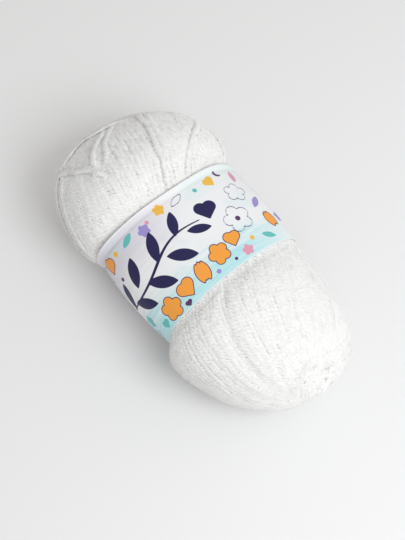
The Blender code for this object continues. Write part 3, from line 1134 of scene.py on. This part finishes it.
INKS = {
    "teal": (0.13, 0.52, 0.50, 1.0),
    "amber": (0.86, 0.50, 0.07, 1.0),
    "orange": (0.90, 0.36, 0.05, 1.0),
    "pink": (0.74, 0.33, 0.45, 1.0),
    "violet": (0.34, 0.28, 0.62, 1.0),
    "plum": (0.10, 0.035, 0.13, 1.0),
    "navy": (0.012, 0.010, 0.075, 1.0),
    "line": (0.07, 0.075, 0.16, 1.0),
}
FARTHEST = 8.0
LINE_HALF = 0.22
print("motifs", len(MOTIFS), "in", len(INKS), "inks")


def ink_distances(across, gone):
    """For each ink, the least signed distance to its motifs. The pattern comes twice round the band."""
    period = BAND_ROUND / 2
    round_it = np.mod(gone - FRONT + period / 2, period) - period / 2
    height = (1 - across) * BAND_ACROSS
    fields = {ink: np.full(across.shape, FARTHEST) for ink in INKS}
    for shape, ink, place, level, size, turn in MOTIFS:
        x = np.mod(round_it - place + period / 2, period) - period / 2
        y = height - level
        cos, sin = math.cos(math.radians(turn)), math.sin(math.radians(turn))
        gap = shape(x * cos + y * sin, y * cos - x * sin, size)
        if ink == "line":
            gap = np.abs(gap) - LINE_HALF
        fields[ink] = np.minimum(fields[ink], gap)
    return fields


# %% Make the printed paper
WHITE = (0.85, 0.86, 0.88, 1.0)
LILAC = (0.70, 0.685, 0.745, 1.0)
AQUA = (0.44, 0.76, 0.80, 1.0)
MINT = (0.72, 0.87, 0.85, 1.0)
MARGIN_WHITE = (0.82, 0.81, 0.83, 1.0)
FAR_MARGIN = 1.0
NEAR_MARGIN = 0.5
MARGIN_BLUR = 0.2
STROKE_SLOPE = math.radians(-24)
STROKE_SCALE = (0.05, 0.55, 1.0)


def paper_material():
    """Ink over a wash: white paper, lilac along the left of the far rim, mint on its right, aqua brushed
    on aslant near the near rim. Orange motifs have a plum outline. The paper is satin, with a faint fibre."""
    material, tree, shader = new_material("printed_paper", Roughness=0.45, Specular_IOR_Level=0.4)
    lay = make(tree, "ShaderNodeUVMap", {"uv_map": "lay"})
    round_it = make(tree, "ShaderNodeSeparateXYZ", output=0, Vector=lay)
    level = make(tree, "ShaderNodeSeparateXYZ", output=1, Vector=lay)
    slanted = make(
        tree, "ShaderNodeMapping", Vector=lay, Rotation=(0.0, 0.0, STROKE_SLOPE), Scale=STROKE_SCALE,
    )
    strokes = make(tree, "ShaderNodeTexNoise", Vector=slanted, Scale=1.0, Detail=4.0, Roughness=0.6)
    clouds = make(tree, "ShaderNodeTexNoise", Vector=lay, Scale=0.055, Detail=3.0)
    washed = level + (strokes - 0.5) * 22.0 + (clouds - 0.5) * 20.0
    lilac = washed.rise(22.0, 42.0) * round_it.rise(18.0, -12.0)
    mint = washed.rise(36.0, 50.0) * round_it.rise(8.0, 34.0) * 0.6
    cloud = clouds.rise(0.52, 0.66) * 0.16
    aqua = washed.rise(20.0, 7.0) * (0.65 + strokes.rise(0.62, 0.40) * 0.35) * round_it.rise(62.0, 22.0)
    colour = blend_colours(tree, lilac, WHITE, LILAC)
    colour = blend_colours(tree, mint, colour, MINT)
    colour = blend_colours(tree, cloud, colour, AQUA)
    colour = blend_colours(tree, aqua, colour, AQUA)
    printed_to = BAND_ACROSS - FAR_MARGIN
    far_margin = level.rise(printed_to - MARGIN_BLUR, printed_to)
    margin = far_margin + level.rise(NEAR_MARGIN + MARGIN_BLUR, NEAR_MARGIN)
    for ink, tint in INKS.items():
        gap = make(tree, "ShaderNodeAttribute", {"attribute_name": ink}, output=2)
        if ink == "orange":
            colour = blend_colours(tree, gap.rise(0.52, 0.34), colour, INKS["plum"])
        colour = blend_colours(tree, gap.rise(0.10, -0.10), colour, tint)
    colour = blend_colours(tree, margin * 0.8, colour, MARGIN_WHITE)
    connect(tree, shader.inputs["Base Color"], colour)
    fibre = make(tree, "ShaderNodeTexNoise", Vector=lay, Scale=1.6, Detail=4.0, Roughness=0.7)
    connect(tree, shader.inputs["Roughness"], 0.40 + fibre * 0.14)
    bump = make(tree, "ShaderNodeBump", Height=fibre, Strength=0.12, Distance=0.0001)
    connect(tree, shader.inputs["Normal"], bump)
    return material


# %% Wrap the strip
STATIONS = 450
OUTER_COLUMNS = 110
INNER_COLUMNS = 14


def make_band():
    """A loop round the paper's own edge (outer skin, then inner skin), carried along the strip, and the
    strip's two ends closed."""
    across = np.concatenate([np.linspace(0, 1, OUTER_COLUMNS), np.linspace(1, 0, INNER_COLUMNS)])
    inside = np.concatenate([np.zeros(OUTER_COLUMNS), np.full(INNER_COLUMNS, PAPER_THICK)])
    gone = np.linspace(0.0, BAND_ROUND + OVERLAP, STATIONS)
    gone_grid, across_grid = np.meshgrid(gone, across, indexing="ij")
    points = band_place(across_grid, gone_grid, inside[None]).reshape(-1, 3)
    columns = len(across)
    outer_of = np.round(np.linspace(OUTER_COLUMNS - 1, 0, INNER_COLUMNS)).astype(int)
    ends = []
    for base, way in ((0, 1), ((STATIONS - 1) * columns, -1)):
        for rung in range(INNER_COLUMNS - 1):
            high, low = outer_of[rung], outer_of[rung + 1]
            inner = OUTER_COLUMNS + rung
            ends.append((np.concatenate([np.arange(low, high + 1), [inner, inner + 1]]) + base)[::way])
    faces = [grid_faces(STATIONS, columns)] + [end[None] for end in ends]
    flat = np.stack([gone_grid - FRONT, (1 - across_grid) * BAND_ACROSS], axis=-1).reshape(-1, 2)
    uv = np.concatenate([flat[rows.ravel()] for rows in faces])
    fields = ink_distances(across_grid, gone_grid)
    bare = FARTHEST * (inside[None] > 0)
    fields = {ink: (values * (bare == 0) + bare).ravel() for ink, values in fields.items()}
    return new_piece("paper_band", points, faces, paper_material(), uv, fields)


band = make_band()

# %% [markdown]
# ## Floor and light
# The photograph is bright and soft: a white surface, one broad light from the right with a weak one to
# fill, and white all round, so that only a soft shadow on the left parts the skein from the table.

# %% Floor, world and lights
FLOOR_WHITE = (0.84, 0.841, 0.846, 1.0)
FLOOR_HALF = 3000.0
FLOOR_HEIGHT = -0.15
WORLD_WHITE = (1.0, 0.985, 0.965, 1.0)
WORLD_STRENGTH = 0.59
COOL_WHITE = (0.965, 0.985, 1.0)


def make_floor():
    """A wide square under everything."""
    sides = FLOOR_HALF * np.array([(-1, -1), (1, -1), (1, 1), (-1, 1)])
    corners = np.column_stack([sides, np.full(4, FLOOR_HEIGHT)])
    material, _, _ = new_material("white_table", Base_Color=FLOOR_WHITE, Roughness=0.6)
    return new_piece("table", corners, [np.array([[0, 1, 2, 3]])], material)


def add_light(name, right, up, height, size, power, colour=(1.0, 1.0, 1.0)):
    """A square light placed by directions in the picture, in metres, facing the skein."""
    lamp = bpy.data.lights.new(name, "AREA")
    lamp.size = size
    lamp.energy = power
    lamp.color = colour
    made = bpy.data.objects.new(name, lamp)
    bpy.context.collection.objects.link(made)
    level_up = Vector((PICTURE_UP.x, PICTURE_UP.y, 0.0)).normalized()
    place = PICTURE_RIGHT * right + level_up * up + Vector((0, 0, height))
    aim(made, place, Vector((0, 0, 0.02)), Vector((0, 0, 1)))
    return made


floor = make_floor()
world = bpy.data.worlds.new("soft white")
world.use_nodes = True
background = world.node_tree.nodes["Background"]
background.inputs["Color"].default_value = WORLD_WHITE
background.inputs["Strength"].default_value = WORLD_STRENGTH
bpy.context.scene.world = world
add_light("broad light", right=0.36, up=-0.38, height=0.62, size=0.45, power=3.4, colour=COOL_WHITE)
add_light("soft fill", right=0.70, up=0.20, height=0.80, size=0.90, power=0.9)
bpy.context.scene.view_settings.view_transform = "Standard"
bpy.context.scene.view_settings.look = "None"

# %% Join the pieces to the frame
for piece in (core, *far_strands, *near_strands, *linings, loose_turns, fuzz):
    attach(piece, "root")
    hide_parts("skein")
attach(band, "root")
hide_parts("band")
